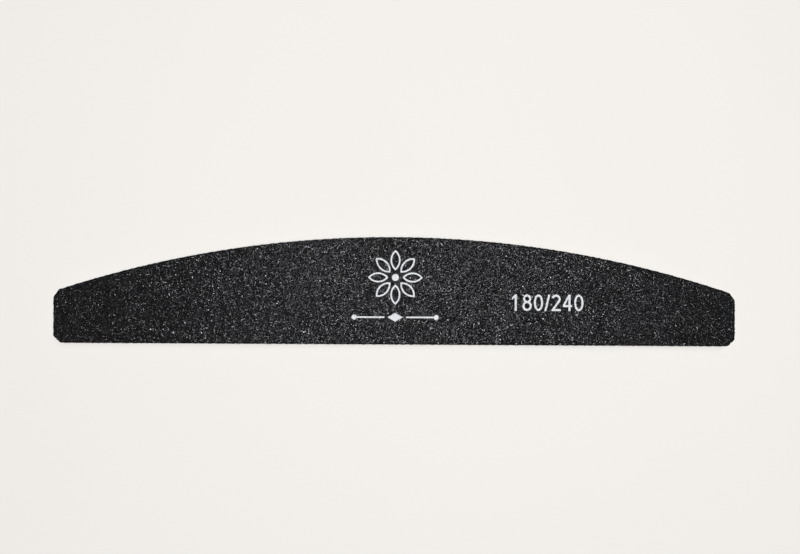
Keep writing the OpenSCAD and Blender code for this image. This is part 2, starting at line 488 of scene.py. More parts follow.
def streak_group():
    """Fine upright streaks of a sheared edge, which run through the board's thickness."""
    group, tree, given = new_group(
        "Streaks", "ShaderNodeTree",
        [("Vector", "Vector", None), ("Scale", "Float", 3000.0), ("Stretch", "Float", 0.12)],
        [("Value", "Float"), ("Height", "Float")],
    )
    flat = tree.add("ShaderNodeCombineXYZ", {"X": 1.0, "Y": 1.0, "Z": given["Stretch"]}).outputs[0]
    squeezed = tree.add("ShaderNodeVectorMath", {0: given["Vector"], 1: flat}, operation="MULTIPLY")
    noise = tree.add("ShaderNodeTexNoise", {
        "Vector": squeezed.outputs[0], "Scale": given["Scale"], "Detail": 2.0}).outputs["Fac"]
    value = tree.ranged(noise, 0.0, 1.0, start=0.3, end=0.7)
    tree.add("NodeGroupOutput", {"Value": value, "Height": noise})
    return group


GROUP_MAKERS = {"Mottle": mottle_group, "Specks": speck_group, "Streaks": streak_group}


def effect(tree, name, values):
    """Places one of the shared node groups, which is built the first time. Returns its outputs."""
    group = bpy.data.node_groups.get(name) or GROUP_MAKERS[name]()
    return tree.add("ShaderNodeGroup", values, node_tree=group).outputs


def mottle(tree, place, scale, contrast, low=0.0, high=1.0):
    """Places the shared mottling."""
    return effect(
        tree, "Mottle", {"Vector": place, "Scale": scale, "Low": low, "High": high, "Contrast": contrast})


def specks(tree, place, scale, share, size):
    """Places the shared specks."""
    return effect(tree, "Specks", {"Vector": place, "Scale": scale, "Share": share, "Size": size})


def new_material(name, **values):
    """A material with a Principled BSDF, its constant values set on its own sockets. Returns it, its tree
    helper, its shader and the object's coordinates."""
    material = bpy.data.materials.new(name)
    material.use_nodes = True
    material.node_tree.nodes.clear()
    tree = Tree(material.node_tree)
    place = tree.add("ShaderNodeTexCoord").outputs["Object"]
    shader = tree.add(
        "ShaderNodeBsdfPrincipled", {key.replace("_", " "): value for key, value in values.items()})
    tree.add("ShaderNodeOutputMaterial", {"Surface": shader.outputs[0]})
    return material, tree, shader, place


def blend_colours(tree, share, first, second):
    """A colour between two, by a share from 0 to 1."""
    ends = [part if isinstance(part, bpy.types.NodeSocket) else (*part[:3], 1) for part in (first, second)]
    mix = tree.add("ShaderNodeMix", {"Factor": share, 6: ends[0], 7: ends[1]}, data_type="RGBA")
    return mix.outputs[2]


def speckled(tree, colour, mottling, spots, dark, pale, spot):
    """A colour that wanders between two shades of itself, with spots in a third. Each shade is a factor."""
    ground = blend_colours(tree, mottling["Value"], shaded(colour, dark), shaded(colour, pale))
    return blend_colours(tree, spots["Mask"], ground, shaded(colour, spot))


def dress(tree, shader, colour, roughness, height, depth, strength):
    """Links a colour, a roughness and a fine relief, so many metres deep, to the shader."""
    relief = tree.add("ShaderNodeBump", {"Height": height, "Distance": depth, "Strength": strength})
    tree.feed(shader.inputs["Base Color"], colour)
    tree.feed(shader.inputs["Roughness"], roughness)
    tree.feed(shader.inputs["Normal"], relief.outputs[0])


def shaded(colour, factor):
    """A colour made lighter or darker."""
    return tuple(min(1.0, part * factor) for part in colour[:3])


# Materials

def resin_material(name, colour, speck_scale):
    """Black size coat: a rough resin that has run between the grains, with pale flecks in its colour that
    are painted glints standing in for its gloss.
    """
    material, tree, shader, place = new_material(name, IOR=1.5, Specular_IOR_Level=0.05)
    broad = mottle(tree, place, scale=300.0, contrast=0.25)
    painted_glint_flecks = specks(tree, place, scale=speck_scale, share=0.22, size=0.42)
    fine = mottle(tree, place, scale=2500.0, contrast=0.2, low=0.5, high=0.85)
    # Pale flecks at six times the resin's colour: painted glints
    black = speckled(tree, colour, broad, painted_glint_flecks, dark=0.6, pale=1.6, spot=6.0)
    dress(tree, shader, black, fine["Value"], fine["Height"], depth=0.03 * MM, strength=0.7)
    return material


def grain_material(name, dark, light):
    """Silicon carbide grains: near-black crystals, each of its own tone, with bright clean facets. The
    light grains are partly their own grey and partly painted sparkle, a light colour that stands in for
    glints.
    """
    material, tree, shader, place = new_material(name, IOR=1.62, Specular_Tint=(0.95, 0.95, 1.0, 1.0))
    few_are_light = 5.0
    shade = tree.add("ShaderNodeAttribute", attribute_name="shade").outputs["Fac"]
    own = tree.calc("POWER", shade, few_are_light)
    dust = mottle(tree, place, scale=6000.0, contrast=0.2, high=0.5)
    # Light grains, and grains lifted by the dust: partly their own grey, partly painted sparkle that stands
    # in for glints
    dust_and_painted_sparkle = tree.calc("MULTIPLY", own, tree.calc("ADD", own, dust["Value"], use_clamp=True))
    grey = blend_colours(tree, dust_and_painted_sparkle, dark, light)
    gloss = tree.ranged(shade, low=0.375, high=0.24)
    dress(tree, shader, grey, gloss, dust["Height"], depth=0.01 * MM, strength=0.4)
    return material


def ink_material(colour):
    """White screen ink, thinner and greyer here and there where the grit drinks it."""
    material, tree, shader, place = new_material("White ink", IOR=1.45)
    thin = mottle(tree, place, scale=2600.0, contrast=0.22)
    pores = specks(tree, place, scale=3600.0, share=0.12, size=0.35)
    white = speckled(tree, colour, thin, pores, dark=0.82, pale=1.04, spot=0.45)
    rough = tree.ranged(thin["Value"], low=0.5, high=0.7)
    dress(tree, shader, white, rough, thin["Height"], depth=0.02 * MM, strength=0.6)
    return material


def foam_material(colour):
    """Charcoal foam with paler walls; its cut cells are darkened in the colour, painted shade in their
    hollows.
    """
    material, tree, shader, place = new_material("Charcoal foam", IOR=1.45, Specular_IOR_Level=0.3)
    cells = specks(tree, place, scale=5200.0, share=0.45, size=0.4)
    broad = mottle(tree, place, scale=700.0, contrast=0.25)
    # The cells' mask darkens the colour to three tenths: painted shade in the open cells
    charcoal_and_cell_shade = speckled(tree, colour, broad, cells, dark=0.8, pale=1.5, spot=0.3)
    rough = tree.ranged(broad["Value"], low=0.75, high=0.95)
    dress(tree, shader, charcoal_and_cell_shade, rough, cells["Height"], depth=0.06 * MM, strength=0.8)
    return material


def core_material(colour):
    """White polystyrene, satin, with the upright streaks of the die and a little grey rubbed into them."""
    material, tree, shader, place = new_material("White core plastic", IOR=1.55)
    streaks = effect(tree, "Streaks", {"Vector": place, "Scale": 3000.0, "Stretch": 0.12})
    grime = mottle(tree, place, scale=500.0, contrast=0.2)
    rubbed = tree.calc("MULTIPLY", streaks["Value"], grime["Value"])
    white = blend_colours(tree, rubbed, colour, shaded(colour, 0.72))
    rough = tree.ranged(streaks["Value"], low=0.35, high=0.6)
    dress(tree, shader, white, rough, streaks["Height"], depth=0.03 * MM, strength=0.6)
    return material


def paper_material(colour):
    """Black saturated paper: a matte edge with paler torn fibres."""
    material, tree, shader, place = new_material("Black backing paper", IOR=1.45)
    fibres = mottle(tree, place, scale=6500.0, contrast=0.16)
    lint = specks(tree, place, scale=4200.0, share=0.1, size=0.4)
    black = speckled(tree, colour, fibres, lint, dark=0.6, pale=1.7, spot=4.0)
    rough = tree.ranged(fibres["Value"], low=0.7, high=0.9)
    dress(tree, shader, black, rough, fibres["Height"], depth=0.04 * MM, strength=0.7)
    return material


def glue_material(colour):
    """Clear acrylic glue film, slightly yellow, with small dull and grey patches where lint has stuck."""
    material, tree, shader, place = new_material("Glue film", IOR=1.47)
    patches = mottle(tree, place, scale=900.0, contrast=0.2)
    lint = specks(tree, place, scale=5000.0, share=0.18, size=0.4)
    yellow = speckled(tree, colour, patches, lint, dark=0.55, pale=1.1, spot=0.2)
    rough = tree.ranged(patches["Value"], low=0.15, high=0.4)
    dress(tree, shader, yellow, rough, patches["Height"], depth=0.02 * MM, strength=0.5)
    return material


def looked_at(tree):
    """1 for the rays of the camera, of gloss and of glass, which see the pale studio, and 0 for others."""
    path = tree.add("ShaderNodeLightPath").outputs
    seen = tree.calc("MAXIMUM", path["Is Camera Ray"], path["Is Glossy Ray"])
    return tree.calc("MAXIMUM", seen, path["Is Transmission Ray"])


def table_material(colour):
    """Warm white table with the faintest mottling, as pale far off as round the board. Its back is clear,
    so that the board shows from below."""
    material, tree, shader, place = new_material(
        "Warm white table", Roughness=0.85, IOR=1.4, Specular_IOR_Level=0.1)
    cloud = mottle(tree, place, scale=14.0, contrast=0.25)
    white = blend_colours(tree, cloud["Value"], shaded(colour, 0.994), shaded(colour, 1.003))
    tree.feed(shader.inputs["Base Color"], white)
    away = tree.add("ShaderNodeVectorMath", {0: place}, operation="LENGTH").outputs["Value"]
    far = tree.ranged(away, 0.0, 1.0, start=0.13, end=0.3)
    share = tree.calc("MULTIPLY", far, looked_at(tree))
    pale = tree.add("ShaderNodeEmission", {"Color": (*colour[:3], 1), "Strength": 1.0})
    table = tree.add("ShaderNodeMixShader", {0: share, 1: shader.outputs[0], 2: pale.outputs[0]})
    behind = tree.add("ShaderNodeNewGeometry").outputs["Backfacing"]
    clear = tree.add("ShaderNodeBsdfTransparent")
    mixed = tree.add("ShaderNodeMixShader", {0: behind, 1: table.outputs[0], 2: clear.outputs[0]})
    out = next(node for node in tree.tree.nodes if node.type == "OUTPUT_MATERIAL")
    tree.feed(out.inputs["Surface"], mixed.outputs[0])
    return material


def studio_world(colour, sky):
    """Even light from all round. The camera sees the table's own white behind the board, and gloss sees it
    low down, as a pale wall round the table."""
    world = bpy.data.worlds.new("Pale studio")
    world.use_nodes = True
    world.node_tree.nodes.clear()
    tree = Tree(world.node_tree)
    path = tree.add("ShaderNodeLightPath").outputs
    direction = tree.add("ShaderNodeTexCoord").outputs["Generated"]
    up = tree.add("ShaderNodeSeparateXYZ", {0: direction}).outputs["Z"]
    low = tree.ranged(up, 0.0, 1.0, start=0.35, end=0.1)
    straight = tree.calc("MAXIMUM", low, path["Is Camera Ray"])
    share = tree.calc("MULTIPLY", straight, looked_at(tree))
    even = tree.add("ShaderNodeBackground", {"Color": (1, 1, 1, 1), "Strength": sky})
    pale = tree.add("ShaderNodeBackground", {"Color": (*colour[:3], 1), "Strength": 1.0})
    mixed = tree.add("ShaderNodeMixShader", {0: share, 1: even.outputs[0], 2: pale.outputs[0]})
    tree.add("ShaderNodeOutputWorld", {"Surface": mixed.outputs[0]})
    return world


# The gritty faces

# Distances of the first rows from the cut edge, which keep the rim's bend smooth
RIM_ROWS = np.array([0, 0.08, 0.18, 0.32, 0.5]) * MM

# The share of the relief that is left at the very edge
RIM_TOOTH = 0.3


def model_coat(name, inner_z, outer_z, grit, lump):
    """A size coat, modelled face up: a fine grid in the board's outline, walled down to inner_z, with its
    rim bent down. outer_z is the nominal height of its face, and lump what its relief adds."""
    start_fresh()
    bpy.ops.mesh.primitive_grid_add(x_subdivisions=grit.columns, y_subdivisions=grit.rows, size=1)
    piece = named(name)
    unit = places(piece) + 0.5
    row = np.round(unit[:, 1] * grit.rows)
    lower, upper = columns_at(unit[:, 0])
    height = np.hypot(*(upper - lower).T)
    last = len(RIM_ROWS) - 1
    from_foot = np.interp(row, range(len(RIM_ROWS)), RIM_ROWS)
    from_head = height - np.interp(grit.rows - row, range(len(RIM_ROWS)), RIM_ROWS)
    between = RIM_ROWS[-1] + (row - last) / (grit.rows - 2 * last) * (height - 2 * RIM_ROWS[-1])
    up = np.where(row < last, from_foot, np.where(row > grit.rows - last, from_head, between)) / height
    x, y = (lower + (upper - lower) * up[:, None]).T
    rimmed = np.maximum(inside(x, y)[0], 0)
    x, y = waver(x, y, grit.edge_wave)
    bent = np.clip(1 - rimmed / grit.roll_width, 0, 1) ** 2
    ground = outer_z - lump - grit.wave_height
    put(piece, np.stack([x, y, ground - bent * grit.roll_depth], 1))
    far_down = 1
    bpy.ops.object.mode_set(mode="EDIT")
    bpy.ops.mesh.select_all(action="SELECT")
    bpy.ops.mesh.region_to_loop()
    bpy.ops.mesh.extrude_region_move(TRANSFORM_OT_translate={"value": (0, 0, -far_down)})
    bpy.ops.mesh.edge_face_add()
    bpy.ops.object.mode_set(mode="OBJECT")
    points = places(piece)
    foot = points[:, 2] < inner_z - far_down / 2
    points[foot, 2] = inner_z
    put(piece, points)
    depth = np.maximum(inside(points[:, 0], points[:, 1])[0], 0)
    weigh(piece, "tooth", np.where(foot, 0, np.clip(RIM_TOOTH + depth / grit.roll_width, 0, 1)))
    return piece


def add_relief(piece, grit, lump, cell):
    """Displaces the face: slow waves of the coat, lumps where grains lie bedded, and jags on the lumps."""
    wave_length = 5 * MM
    jag_cell, jag_height = cell * 0.45, lump * 0.8
    waves = pattern(f"{piece.name} waves", "CLOUDS", wave_length, noise_depth=1)
    lumps = pattern(
        f"{piece.name} lumps", "VORONOI", cell, distance_metric="DISTANCE", weight_1=-1.0, weight_2=1.0,
        noise_intensity=1.4)
    jags = pattern(f"{piece.name} jags", "CLOUDS", jag_cell, noise_depth=0, noise_type="HARD_NOISE")
    displace(piece, waves, grit.wave_height * 2, group="tooth")
    displace(piece, lumps, lump, level=0.0, group="tooth")
    displace(piece, jags, jag_height, group="tooth")
    apply_all(piece)


# The grains

# For each crystal: its sides, its top's radius, and the plane that its top is split along, as a place and
# the way that the plane faces
CRYSTALS = [
    (4, 0.84, (0.00, 0.00, 0.34), (0.05, 0.03, 1)),
    (3, 0.90, (0.00, 0.00, 0.30), (-0.05, 0.06, 1)),
    (4, 0.95, (0.00, 0.00, 0.38), (0.01, -0.06, 1)),
    (3, 0.86, (0.00, 0.00, 0.26), (0.05, 0.04, 1)),
]
CRYSTAL_DEPTH = 1.2
CRYSTAL_SLIMMEST = 0.72
CRYSTAL_SLIMNESS_STEP = 0.08

# The grains of a face are sown in these lots, each a piece: how far they lean in radians, how deep they sit
# as a share of their size, and their size beside the common one. The last lot stands steep.
LOTS = [(0.14, 0.1, 1.0), (0.16, 0.1, 1.0), (0.18, 0.1, 1.0), (0.7, 0.35, 0.8)]
GRAIN_FLATNESS = 0.7

# Grains lie on what faces up by more than STEEPEST, fewest at the rim, and in full number from where the
# relief has INNER_TOOTH of its height
STEEPEST = 0.3
INNER_TOOTH = 0.9
LEFT_AT_RIM = 0.12

# Most grains are small, by this power of an even chance, and the slimmest have this much of a round girth
SMALL_ONES = 2.2
SLIMMEST = 0.7


def model_crystals():
    """Four crystals about a unit in radius: tapered blocks with steep sides, split near level on top."""
    box = bpy.data.collections.new("Crystals")
    for k, (sides, top, spot, way) in enumerate(CRYSTALS):
        start_fresh()
        bpy.ops.mesh.primitive_cone_add(vertices=sides, radius1=1, radius2=top, depth=CRYSTAL_DEPTH)
        crystal = named(f"crystal_{k}")
        crystal.data.uv_layers[0].name = BAKE_MAP
        bpy.ops.object.mode_set(mode="EDIT")
        bpy.ops.mesh.select_all(action="SELECT")
        bpy.ops.transform.resize(value=(1, CRYSTAL_SLIMMEST + CRYSTAL_SLIMNESS_STEP * k, 1))
        bpy.ops.mesh.bisect(plane_co=spot, plane_no=way, use_fill=True, clear_outer=True)
        bpy.ops.mesh.select_all(action="SELECT")
        bpy.ops.uv.smart_project(angle_limit=math.radians(40), scale_to_bounds=True)
        bpy.ops.object.mode_set(mode="OBJECT")
        for holder in list(crystal.users_collection):
            holder.objects.unlink(crystal)
        box.objects.link(crystal)
    return box


def sowing_group():
    """Geometry nodes that sow crystals over the upward faces of a coat, few at its rim where they chip off,
    and keep only the crystals. Returns the group and its inputs' identifiers by name."""
    group, tree, given = new_group(
        "Sow grains", "GeometryNodeTree",
        [("Coat", "Geometry", None), ("Crystals", "Collection", None), ("Density", "Float", None),
         ("Spacing", "Float", None), ("Smallest", "Float", None), ("Largest", "Float", None),
         ("Lean", "Float", None), ("Sink", "Float", None), ("Flatness", "Float", None),
         ("Seed", "Int", None), ("Share", "Int", None)],
        [("Grains", "Geometry")],
    )

    def chance(low, high, salt):
        """A value of its own for each grain, between two ends."""
        ends = {2: low, 3: high, "Seed": tree.calc("ADD", given["Seed"], float(salt))}
        return tree.add("FunctionNodeRandomValue", ends, data_type="FLOAT").outputs[1]

    normal = tree.add("ShaderNodeSeparateXYZ", {0: tree.add("GeometryNodeInputNormal").outputs[0]})
    tooth = tree.add("GeometryNodeInputNamedAttribute", {"Name": "tooth"}, data_type="FLOAT").outputs[0]
    kept_on = tree.ranged(tooth, LEFT_AT_RIM, 1.0, start=RIM_TOOTH, end=INNER_TOOTH)
    sown = tree.add("GeometryNodeDistributePointsOnFaces", {
        "Mesh": given["Coat"], "Selection": tree.calc("GREATER_THAN", normal.outputs["Z"], STEEPEST),
        "Density Max": given["Density"], "Distance Min": given["Spacing"],
        "Density Factor": kept_on, "Seed": given["Seed"]}, distribute_method="POISSON")
    lot = tree.calc("FLOOR", chance(0.0, float(len(LOTS)), 10))
    others = tree.add(
        "FunctionNodeCompare", {0: lot, 1: given["Share"]}, operation="NOT_EQUAL", data_type="FLOAT")
    kept = tree.add("GeometryNodeDeleteGeometry", {
        "Geometry": sown.outputs["Points"], "Selection": others.outputs[0]}, domain="POINT")
    less = tree.calc("MULTIPLY", given["Lean"], -1.0)
    turn = tree.add("ShaderNodeCombineXYZ", {
        "X": chance(less, given["Lean"], 11), "Y": chance(less, given["Lean"], 12),
        "Z": chance(0.0, 2 * math.pi, 13)})
    skew = tree.calc("POWER", chance(0.0, 1.0, 14), SMALL_ONES)
    size = tree.ranged(skew, given["Smallest"], given["Largest"])
    flat = tree.calc("MULTIPLY", size, given["Flatness"])
    girth = tree.calc("MULTIPLY", size, chance(SLIMMEST, 1.0, 15))
    scale = tree.add("ShaderNodeCombineXYZ", {"X": size, "Y": girth, "Z": flat})
    shapes = tree.add("GeometryNodeCollectionInfo", {
        "Collection": given["Crystals"], "Separate Children": True, "Reset Children": True})
    placed = tree.add("GeometryNodeInstanceOnPoints", {
        "Points": kept.outputs[0], "Instance": shapes.outputs[0], "Pick Instance": True,
        "Rotation": turn.outputs[0], "Scale": scale.outputs[0]})
    lowered = tree.calc("MULTIPLY", tree.calc("MULTIPLY", size, given["Sink"]), -1.0)
    down = tree.add("ShaderNodeCombineXYZ", {"Z": lowered}).outputs[0]
    sunk = tree.add("GeometryNodeTranslateInstances", {
        "Instances": placed.outputs[0], "Translation": down, "Local Space": False})
    with_shade = tree.add("GeometryNodeStoreNamedAttribute", {
        "Geometry": sunk.outputs[0], "Name": "shade", "Value": chance(0.0, 1.0, 16)},
        data_type="FLOAT", domain="INSTANCE")
    solid = tree.add("GeometryNodeRealizeInstances", {"Geometry": with_shade.outputs[0]})
    tree.add("NodeGroupOutput", {"Grains": solid.outputs[0]})
    return group, {socket.name: socket.identifier for socket in given}


def spread_map(piece):
    """Gives each grain a square of its own on the piece's map. Two grains side by side differ in shade."""
    margin = 0.06
    shade = np.empty(len(piece.data.vertices), np.float32)
    piece.data.attributes["shade"].data.foreach_get("value", shade)
    grain = np.concatenate([[0], np.cumsum(np.diff(shade) != 0)])
    squares = math.ceil(math.sqrt(grain[-1] + 1))
    vertex = np.empty(len(piece.data.loops), np.int32)
    piece.data.loops.foreach_get("vertex_index", vertex)
    flat = piece.data.uv_layers[BAKE_MAP].uv
    at = np.empty(len(vertex) * 2, np.float32)
    flat.foreach_get("vector", at)
    corner = np.stack([grain % squares, grain // squares], 1)[vertex]
    spread = (corner + margin + (1 - 2 * margin) * at.reshape(-1, 2)) / squares
    flat.foreach_set("vector", spread.astype(np.float32).ravel())


def sow(name, coat, group, sockets, values):
    """A new piece: one lot of the grains sown on a coat."""
    choose(coat)
    bpy.ops.object.duplicate()
    piece = named(name)
    modifier = piece.modifiers.new("Sow grains", "NODES")
    modifier.node_group = group
    for label, value in values.items():
        modifier[sockets[label]] = value
    apply_all(piece)
    piece.vertex_groups.clear()
    for left_over in ("UVMap", "id", "tooth"):
        piece.data.attributes.remove(piece.data.attributes[left_over])
    spread_map(piece)
    return piece


# Slabs with a finely divided cut edge

# How far in a slab's top and foot are divided, and how near the outline a point counts as its cut edge
SLAB_INSET = 0.8 * MM
SLAB_RIM = 0.2 * MM


def model_slab(node, spacing, levels, depth_at, wave, relief, height, level):
    """A layer of the laminate as a closed slab. Its cut edge is divided along the outline and into levels,
    is drawn in by depth_at(share of the height) and by the die's unevenness, and has a relief."""
    low_z, high_z = layer(node)
    loop = outline_loop(spacing)
    start_fresh()
    bpy.ops.mesh.primitive_circle_add(
        vertices=len(loop), radius=1, fill_type="NGON", location=(0, 0, low_z))
    piece = named(node + "_cut")
    put(piece, np.column_stack([loop, np.full(len(loop), low_z)]))
    piece.matrix_world = Matrix.Identity(4)
    bpy.ops.object.mode_set(mode="EDIT")
    bpy.ops.mesh.select_all(action="SELECT")
    bpy.ops.mesh.inset(thickness=SLAB_INSET, depth=0)
    bpy.ops.mesh.select_all(action="SELECT")
    step = (high_z - low_z) / levels
    for _ in range(levels):
        bpy.ops.mesh.extrude_region_move(TRANSFORM_OT_translate={"value": (0, 0, step)})
    bpy.ops.mesh.select_all(action="SELECT")
    bpy.ops.mesh.normals_make_consistent(inside=False)
    bpy.ops.object.mode_set(mode="OBJECT")
    points = places(piece)
    x, y, z = points.T
    depth, way = inside(x, y)
    on_rim = depth < SLAB_RIM
    share = (z - low_z) / (high_z - low_z)
    drawn = depth_at(share)
    waved_x, waved_y = waver(x, y, wave)
    x = np.where(on_rim, waved_x + way[0] * drawn, x)
    y = np.where(on_rim, waved_y + way[1] * drawn, y)
    put(piece, np.column_stack([x, y, z]))
    most_amid = np.clip(np.sin(np.pi * share) * 1.2 + 0.25, 0, 1)
    weigh(piece, "cut edge", np.where(on_rim, most_amid, 0))
    displace(piece, relief, height, direction="NORMAL", level=level, group="cut edge")
    apply_all(piece)
    return piece


# The stage's fixed sizes

TABLE_SIDE = 3
TABLE_CUTS = 8
TABLE_GAP = 0.01 * MM
CAMERA_NEAREST = 0.01
SIDE_LAMP_WIDER = 1.5
UNDER_LAMP_WIDER = 3


# Operators

class EMERY_OT_stage(Operator):
    """Camera above the board, a soft lamp over it, even light all round and a warm white table"""

    bl_idname = "emery.stage"
    bl_label = "Stage"

    def execute(self, context):
        settings = context.scene.emery_stage
        colours = context.scene.emery_colours
        start_fresh()
        bpy.ops.mesh.primitive_plane_add(size=TABLE_SIDE)
        table = named("table")
        bpy.ops.object.mode_set(mode="EDIT")
        bpy.ops.mesh.subdivide(number_cuts=TABLE_CUTS)
        bpy.ops.transform.translate(value=(0, 0, -TABLE_GAP))
        bpy.ops.object.mode_set(mode="OBJECT")
        table.data.materials.append(table_material(colours.table))
        camera_data = bpy.data.cameras.new("camera")
        camera = bpy.data.objects.new("camera", camera_data)
        context.scene.collection.objects.link(camera)
        across = (PHOTO_WIDTH / 2 - BOARD_CENTRE_X) / PIXELS_PER_METRE
        up = (BOARD_CENTRE_Y - PHOTO_HEIGHT / 2) / PIXELS_PER_METRE
        spot = Matrix.Rotation(BOARD_TURN, 3, "Z") @ Vector((across, up, 0))
        camera.location = (spot.x, spot.y, settings.camera_height)
        camera.rotation_euler = (0, 0, BOARD_TURN)
        frame_width = PHOTO_WIDTH / PIXELS_PER_METRE
        camera_data.lens = camera_data.sensor_width * (settings.camera_height - cad_high.z) / frame_width
        camera_data.clip_start = CAMERA_NEAREST
        context.scene.camera = camera
        place, side = Vector(settings.lamp_place), Vector(settings.side_place)
        size = settings.lamp_size
        self.add_lamp("lamp", place, settings.lamp_power, size)
        self.add_lamp("side lamp", side, settings.side_power, size * SIDE_LAMP_WIDER)
        under = self.add_lamp("under lamp", -place, settings.under_power, size * UNDER_LAMP_WIDER)
        unblocked = bpy.data.collections.new("What shades the under lamp")
        under.light_linking.blocker_collection = unblocked
        for node in frame["nodes"].values():
            unblocked.objects.link(node)
        context.scene.world = studio_world(colours.table, settings.sky)
        context.scene.view_settings.view_transform = "Standard"
        return {"FINISHED"}

    @staticmethod
    def add_lamp(name, place, power, size):
        """A square lamp that points at the board."""
        lamp_data = bpy.data.lights.new(name, "AREA")
        lamp_data.energy = power
        lamp_data.size = size
        lamp = bpy.data.objects.new(name, lamp_data)
        lamp.location = place
        lamp.rotation_euler = (-place).to_track_quat("-Z", "Y").to_euler()
        bpy.context.scene.collection.objects.link(lamp)
        return lamp


# Each gritty face: its number, its coat's foot and face when modelled face up, its highest grain, its lumps
# beside the common height and their cells, its grains' sizes, the seed, its nodes, whether it faces down
FACES = [
    ("180", layer("make_coat_upper")[1], layer("size_coat_upper")[1], cad_high.z + 0.03 * MM,
     0.8, 0.5 * MM, (0.09 * MM, 0.17 * MM), 3, "size_coat_upper", "grit_180", False),
    ("240", -layer("make_coat_lower")[0], -layer("size_coat_lower")[0], 0.0,
     0.6, 0.42 * MM, (0.07 * MM, 0.14 * MM), 50, "size_coat_lower", "grit_240", True),
]

# The share of the grains' points that stay under the highest, where the taller tips are worn off
UNWORN = 0.995


class EMERY_OT_faces(Operator):
    """Both gritty faces: the size coats, and the lots of grains on each"""

    bl_idname = "emery.faces"
    bl_label = "Gritty faces"

    def execute(self, context):
        grit = context.scene.emery_grit
        colours = context.scene.emery_colours
        crystals = model_crystals()
        group, sockets = sowing_group()
        for face in FACES:
            mark, inner, outer, highest, lumpy, cell, (small, large), seed, coat_node, node, below = face
            lump = grit.lump_height * lumpy
            coat = model_coat(f"size_coat_{mark}", inner, outer, grit, lump)
            add_relief(coat, grit, lump, cell)
            common = {
                "Crystals": crystals, "Density": grit.grains / FACE_AREA, "Spacing": grit.grain_spacing,
                "Flatness": GRAIN_FLATNESS, "Seed": seed}
            sown = []
            for k, (lean, sink, size) in enumerate(LOTS):
                own = {
                    "Smallest": small * size, "Largest": large * size, "Lean": lean, "Sink": sink,
                    "Share": k}
                sown.append(sow(f"grains_{mark}_part_{k + 1}", coat, group, sockets, {**common, **own}))
            self.settle(coat, sown, inner, highest)
            if below:
                for piece in (coat, *sown):
                    turn_over(piece)
            resin = resin_material(f"Size coat over {mark} grit", colours.resin, 4200.0)
            finish_piece(coat, resin, "resin", coat_node)
            crystal = grain_material(f"Grit {mark}", colours.grain_dark, colours.light_grain_and_painted_sparkle)
            for piece in sown:
                finish_piece(piece, crystal, node, node)
        for crystal in list(crystals.objects):
            bpy.data.objects.remove(crystal)
        return {"FINISHED"}

    @staticmethod
    def settle(coat, sown, inner, highest):
        """Moves a face and its grains until nearly all tips are under a height, and wears off the rest."""
        tips = np.concatenate([places(piece)[:, 2] for piece in sown])
        shift = highest - np.quantile(tips, UNWORN)
        for piece in (coat, *sown):
            points = places(piece)
            z = points[:, 2]
            moved = np.minimum(z + shift, highest)
            if piece is coat:
                moved = np.where(z < inner + HAIR / 10, z, np.maximum(moved, inner + HAIR))
            points[:, 2] = moved
            put(piece, points)


# The ink's sheet, its gap over the grit and its thickness, and what the cutter is cleaned up by
INK_DIVISION = 0.11 * MM
INK_MARGIN = 0.3 * MM
INK_LIFT = 0.012 * MM
INK_BODY = 0.03 * MM
CLEAR_OF_PRINT = 1 * MM
WELD = 0.0005 * MM
NEARLY_FLAT = math.radians(0.5)


